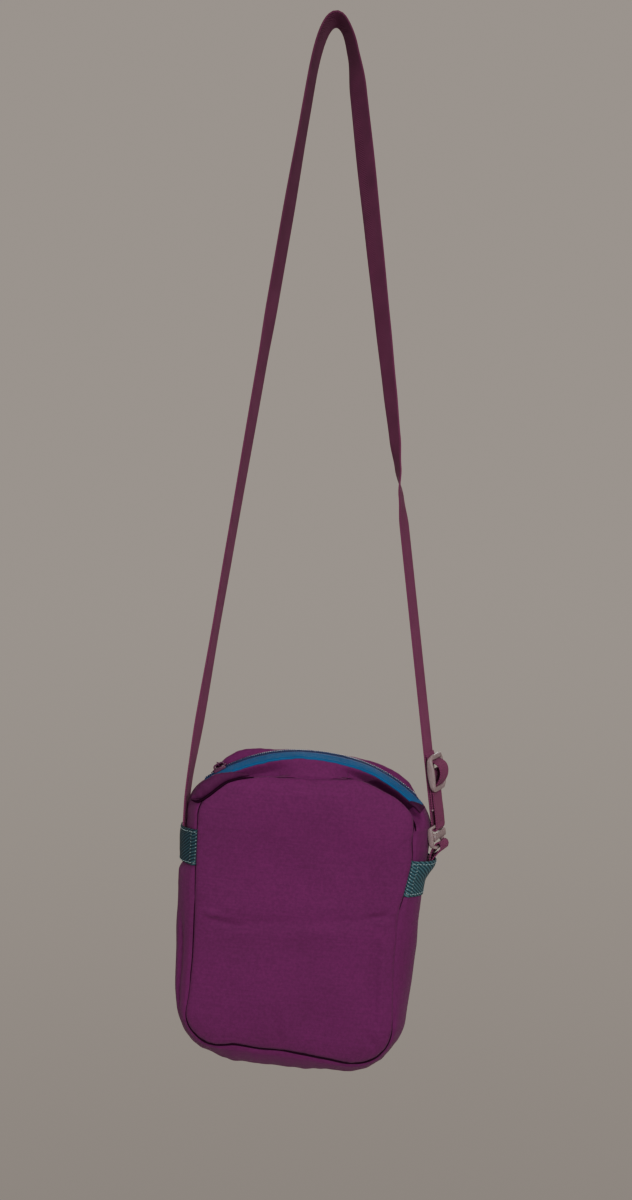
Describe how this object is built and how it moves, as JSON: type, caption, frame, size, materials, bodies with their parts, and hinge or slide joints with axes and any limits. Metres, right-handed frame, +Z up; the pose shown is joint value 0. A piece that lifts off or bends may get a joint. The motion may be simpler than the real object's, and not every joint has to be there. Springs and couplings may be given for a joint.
{
  "type": "crossbody pouch",
  "caption": "Small rounded fabric pouch with a zip over its top, side tabs, and an adjustable webbing shoulder strap, hanging by the strap.",
  "frame": {"origin": "the middle of the strap's thickness where it goes over its peg, half way across the webbing", "axes": "+Z up, from the pouch to the peg; +X to the wearer's adjuster side; +Y from the front panel to the back panel"},
  "size_m": [0.184, 0.038, 0.7264],
  "materials": {
    "cloth": "plain-weave coated polyester, magenta purple",
    "lining": "plain-weave polyester",
    "binding": "woven bias tape",
    "zip_tape": "woven zip tape, blue",
    "zip_coil": "coil, navy",
    "thread": "sewing thread",
    "slider_metal": "enamelled",
    "teal_tape": "woven polyester tape, teal",
    "webbing": "woven polyester webbing, purple",
    "clear_plastic": "natural translucent nylon"
  },
  "bodies": {
    "root": {"front_panel": "cloth", "back_panel": "cloth", "side_gusset": "cloth", "front_zip_strip": "cloth", "back_zip_strip": "cloth", "front_zip_tape": "zip_tape", "back_zip_tape": "zip_tape", "front_zip_coil": "zip_coil", "back_zip_coil": "zip_coil", "zip_end_tacks": "thread", "front_seam_binding": "binding", "back_seam_binding": "binding", "inner_pocket": "lining", "left_tab": "teal_tape", "right_tab": "teal_tape", "shoulder_strap": "webbing", "anchor_webbing": "webbing", "strap_link": "clear_plastic", "strap_return": "webbing"},
    "slider": {"zip_slider": "slider_metal"},
    "pull": {"zip_pull": "slider_metal"},
    "adjuster": {"strap_adjuster": "clear_plastic", "strap_end_loop": "webbing"}
  },
  "joints": [
    {"name": "zip_travel", "type": "hinge", "parent": "root", "child": "slider", "pos_m": [-0.0254, 0, -0.6224], "axis": [0, 1, 0], "range_deg": [0, 68]},
    {"name": "zip_pull_swing", "type": "hinge", "parent": "slider", "child": "pull", "pos_m": [-0.08164, 0, -0.51662], "axis": [0.8829, 0, 0.4695], "range_deg": [0, 208]},
    {"name": "strap_adjust", "type": "slide", "parent": "root", "child": "adjuster", "axis": [-0.1045, 0, 0.9945], "range_m": [0, 0.15], "deforming": ["strap_return"]}
  ]
}
